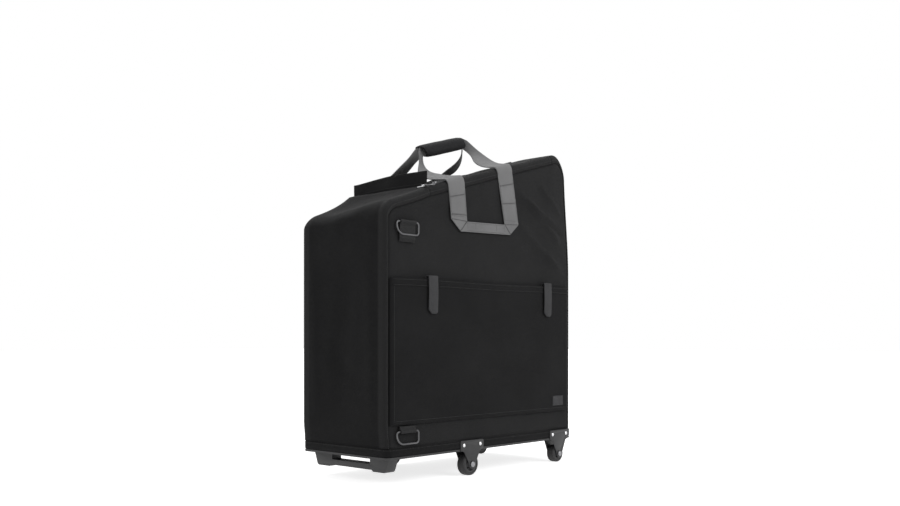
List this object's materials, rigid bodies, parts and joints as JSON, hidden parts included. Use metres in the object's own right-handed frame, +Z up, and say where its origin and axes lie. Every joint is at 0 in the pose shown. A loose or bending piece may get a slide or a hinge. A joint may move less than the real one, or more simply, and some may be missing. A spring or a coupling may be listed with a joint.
{
  "type": "folding bicycle travel bag",
  "caption": "Tall soft case with a slanted zipped lid, on a rigid base with small fixed wheels, with carrying handles, a flat front pocket and D rings",
  "frame": {"origin": "centre of the footprint, on the ground under the wheels", "axes": "+Z up, +X from the low end to the tall end, front panel with the pocket faces -Y"},
  "size_m": [0.7, 0.3163, 0.8623],
  "materials": {
    "body_fabric": "coated woven polyester, near black",
    "end_fabric": "coated woven polyester, near black",
    "base_rubber": "smooth dark rubberised cover",
    "foam": "cloth covered foam",
    "webbing": "grey woven webbing",
    "dark_webbing": "dark grey woven webbing",
    "grip_fabric": "padded black cloth",
    "zip_teeth": "black nylon coil on tape",
    "slider_metal": "nickel plated zip parts",
    "black_steel": "black painted steel",
    "bright_steel": "zinc plated steel",
    "ring_wire": "dark nickel plated wire",
    "tyre_rubber": "black rubber",
    "hub_plastic": "black moulded plastic",
    "foot_plastic": "black moulded plastic",
    "label": "bare dark patch"
  },
  "bodies": {
    "bag": {"base_board": "base_rubber", "base_band": "base_rubber", "floor_pad": "foam", "left_end_panel": "end_fabric", "right_end_panel": "end_fabric", "front_zip_strip": "body_fabric", "rear_zip_strip": "body_fabric", "front_panel": "body_fabric", "rear_panel": "body_fabric", "body_zip_teeth": "zip_teeth", "front_pocket": "body_fabric", "pocket_hem": "body_fabric", "label_patch": "label", "pocket_tab_left_root": "dark_webbing", "pocket_tab_right_root": "dark_webbing", "upper_d_ring_tab": "dark_webbing", "lower_d_ring_tab": "dark_webbing", "front_handle_strap": "webbing", "rear_handle_strap": "webbing", "handle_wrap": "grip_fabric", "lift_foot": "foot_plastic", "foot_screw_front": "black_steel", "foot_screw_rear": "black_steel", "mid_front_bracket": "black_steel", "mid_front_axle_bolt": "bright_steel", "mid_front_rivet_low": "bright_steel", "mid_front_rivet_tall": "bright_steel", "mid_rear_bracket": "black_steel", "mid_rear_axle_bolt": "bright_steel", "mid_rear_rivet_low": "bright_steel", "mid_rear_rivet_tall": "bright_steel", "end_front_bracket": "black_steel", "end_front_axle_bolt": "bright_steel", "end_front_rivet_low": "bright_steel", "end_front_rivet_tall": "bright_steel", "end_rear_bracket": "black_steel", "end_rear_axle_bolt": "bright_steel", "end_rear_rivet_low": "bright_steel", "end_rear_rivet_tall": "bright_steel"},
    "lid": {"lid_panel": "body_fabric", "lid_zip_teeth": "zip_teeth", "port_collar": "dark_webbing"},
    "rain_flap": {"rain_flap": "end_fabric"},
    "cross_slider": {"cross_zip_slider": "slider_metal"},
    "cross_puller": {"cross_zip_puller": "slider_metal"},
    "front_slider": {"front_zip_slider": "slider_metal"},
    "front_puller": {"front_zip_puller": "slider_metal"},
    "upper_ring": {"upper_d_ring": "ring_wire"},
    "lower_ring": {"lower_d_ring": "ring_wire"},
    "left_tab": {"pocket_tab_left": "dark_webbing"},
    "right_tab": {"pocket_tab_right": "dark_webbing"},
    "mid_front_wheel": {"mid_front_tyre": "tyre_rubber", "mid_front_hub": "hub_plastic"},
    "mid_rear_wheel": {"mid_rear_tyre": "tyre_rubber", "mid_rear_hub": "hub_plastic"},
    "end_front_wheel": {"end_front_tyre": "tyre_rubber", "end_front_hub": "hub_plastic"},
    "end_rear_wheel": {"end_rear_tyre": "tyre_rubber", "end_rear_hub": "hub_plastic"}
  },
  "joints": [
    {"name": "lid_hinge", "type": "hinge", "parent": "bag", "child": "lid", "pos_m": [0.262, 0, 0.82463], "axis": [0, 1, 0], "range_deg": [0, 110], "deforming": ["front_handle_strap", "rear_handle_strap", "handle_wrap"]},
    {"name": "flap_hinge", "type": "hinge", "parent": "lid", "child": "rain_flap", "pos_m": [-0.19041, 0, 0.69732], "axis": [0, 1, 0], "range_deg": [-73, 60]},
    {"name": "cross_zip_travel", "type": "slide", "parent": "bag", "child": "cross_slider", "axis": [0, 1, 0], "range_m": [0, 0.235]},
    {"name": "cross_puller_hinge", "type": "hinge", "parent": "cross_slider", "child": "cross_puller", "pos_m": [-0.21397, -0.1322, 0.6931], "axis": [-0.9617, 0, -0.274], "range_deg": [0, 184]},
    {"name": "front_zip_travel", "type": "slide", "parent": "bag", "child": "front_slider", "axis": [0.9617, 0, 0.274], "range_m": [0, 0.455]},
    {"name": "front_puller_hinge", "type": "hinge", "parent": "front_slider", "child": "front_puller", "pos_m": [-0.17835, -0.1329, 0.70325], "axis": [0, -1, 0], "range_deg": [0, 184]},
    {"name": "upper_ring_hinge", "type": "hinge", "parent": "bag", "child": "upper_ring", "pos_m": [-0.2885, -0.1504, 0.599], "axis": [-1, 0, 0], "range_deg": [0, 170]},
    {"name": "lower_ring_hinge", "type": "hinge", "parent": "bag", "child": "lower_ring", "pos_m": [-0.2885, -0.1504, 0.124], "axis": [-1, 0, 0], "range_deg": [0, 150]},
    {"name": "left_tab_hinge", "type": "hinge", "parent": "bag", "child": "left_tab", "pos_m": [-0.211, -0.1572, 0.4799], "axis": [-1, 0, 0], "range_deg": [0, 150]},
    {"name": "right_tab_hinge", "type": "hinge", "parent": "bag", "child": "right_tab", "pos_m": [0.231, -0.1572, 0.4799], "axis": [-1, 0, 0], "range_deg": [0, 150]},
    {"name": "mid_front_axle", "type": "hinge", "parent": "bag", "child": "mid_front_wheel", "pos_m": [-0.065, -0.1342, 0.028], "axis": [0, 1, 0], "continuous": true},
    {"name": "mid_rear_axle", "type": "hinge", "parent": "bag", "child": "mid_rear_wheel", "pos_m": [-0.065, 0.1342, 0.028], "axis": [0, 1, 0], "continuous": true},
    {"name": "end_front_axle", "type": "hinge", "parent": "bag", "child": "end_front_wheel", "pos_m": [0.293, -0.1342, 0.023], "axis": [0, 1, 0], "continuous": true},
    {"name": "end_rear_axle", "type": "hinge", "parent": "bag", "child": "end_rear_wheel", "pos_m": [0.293, 0.1342, 0.023], "axis": [0, 1, 0], "continuous": true}
  ]
}
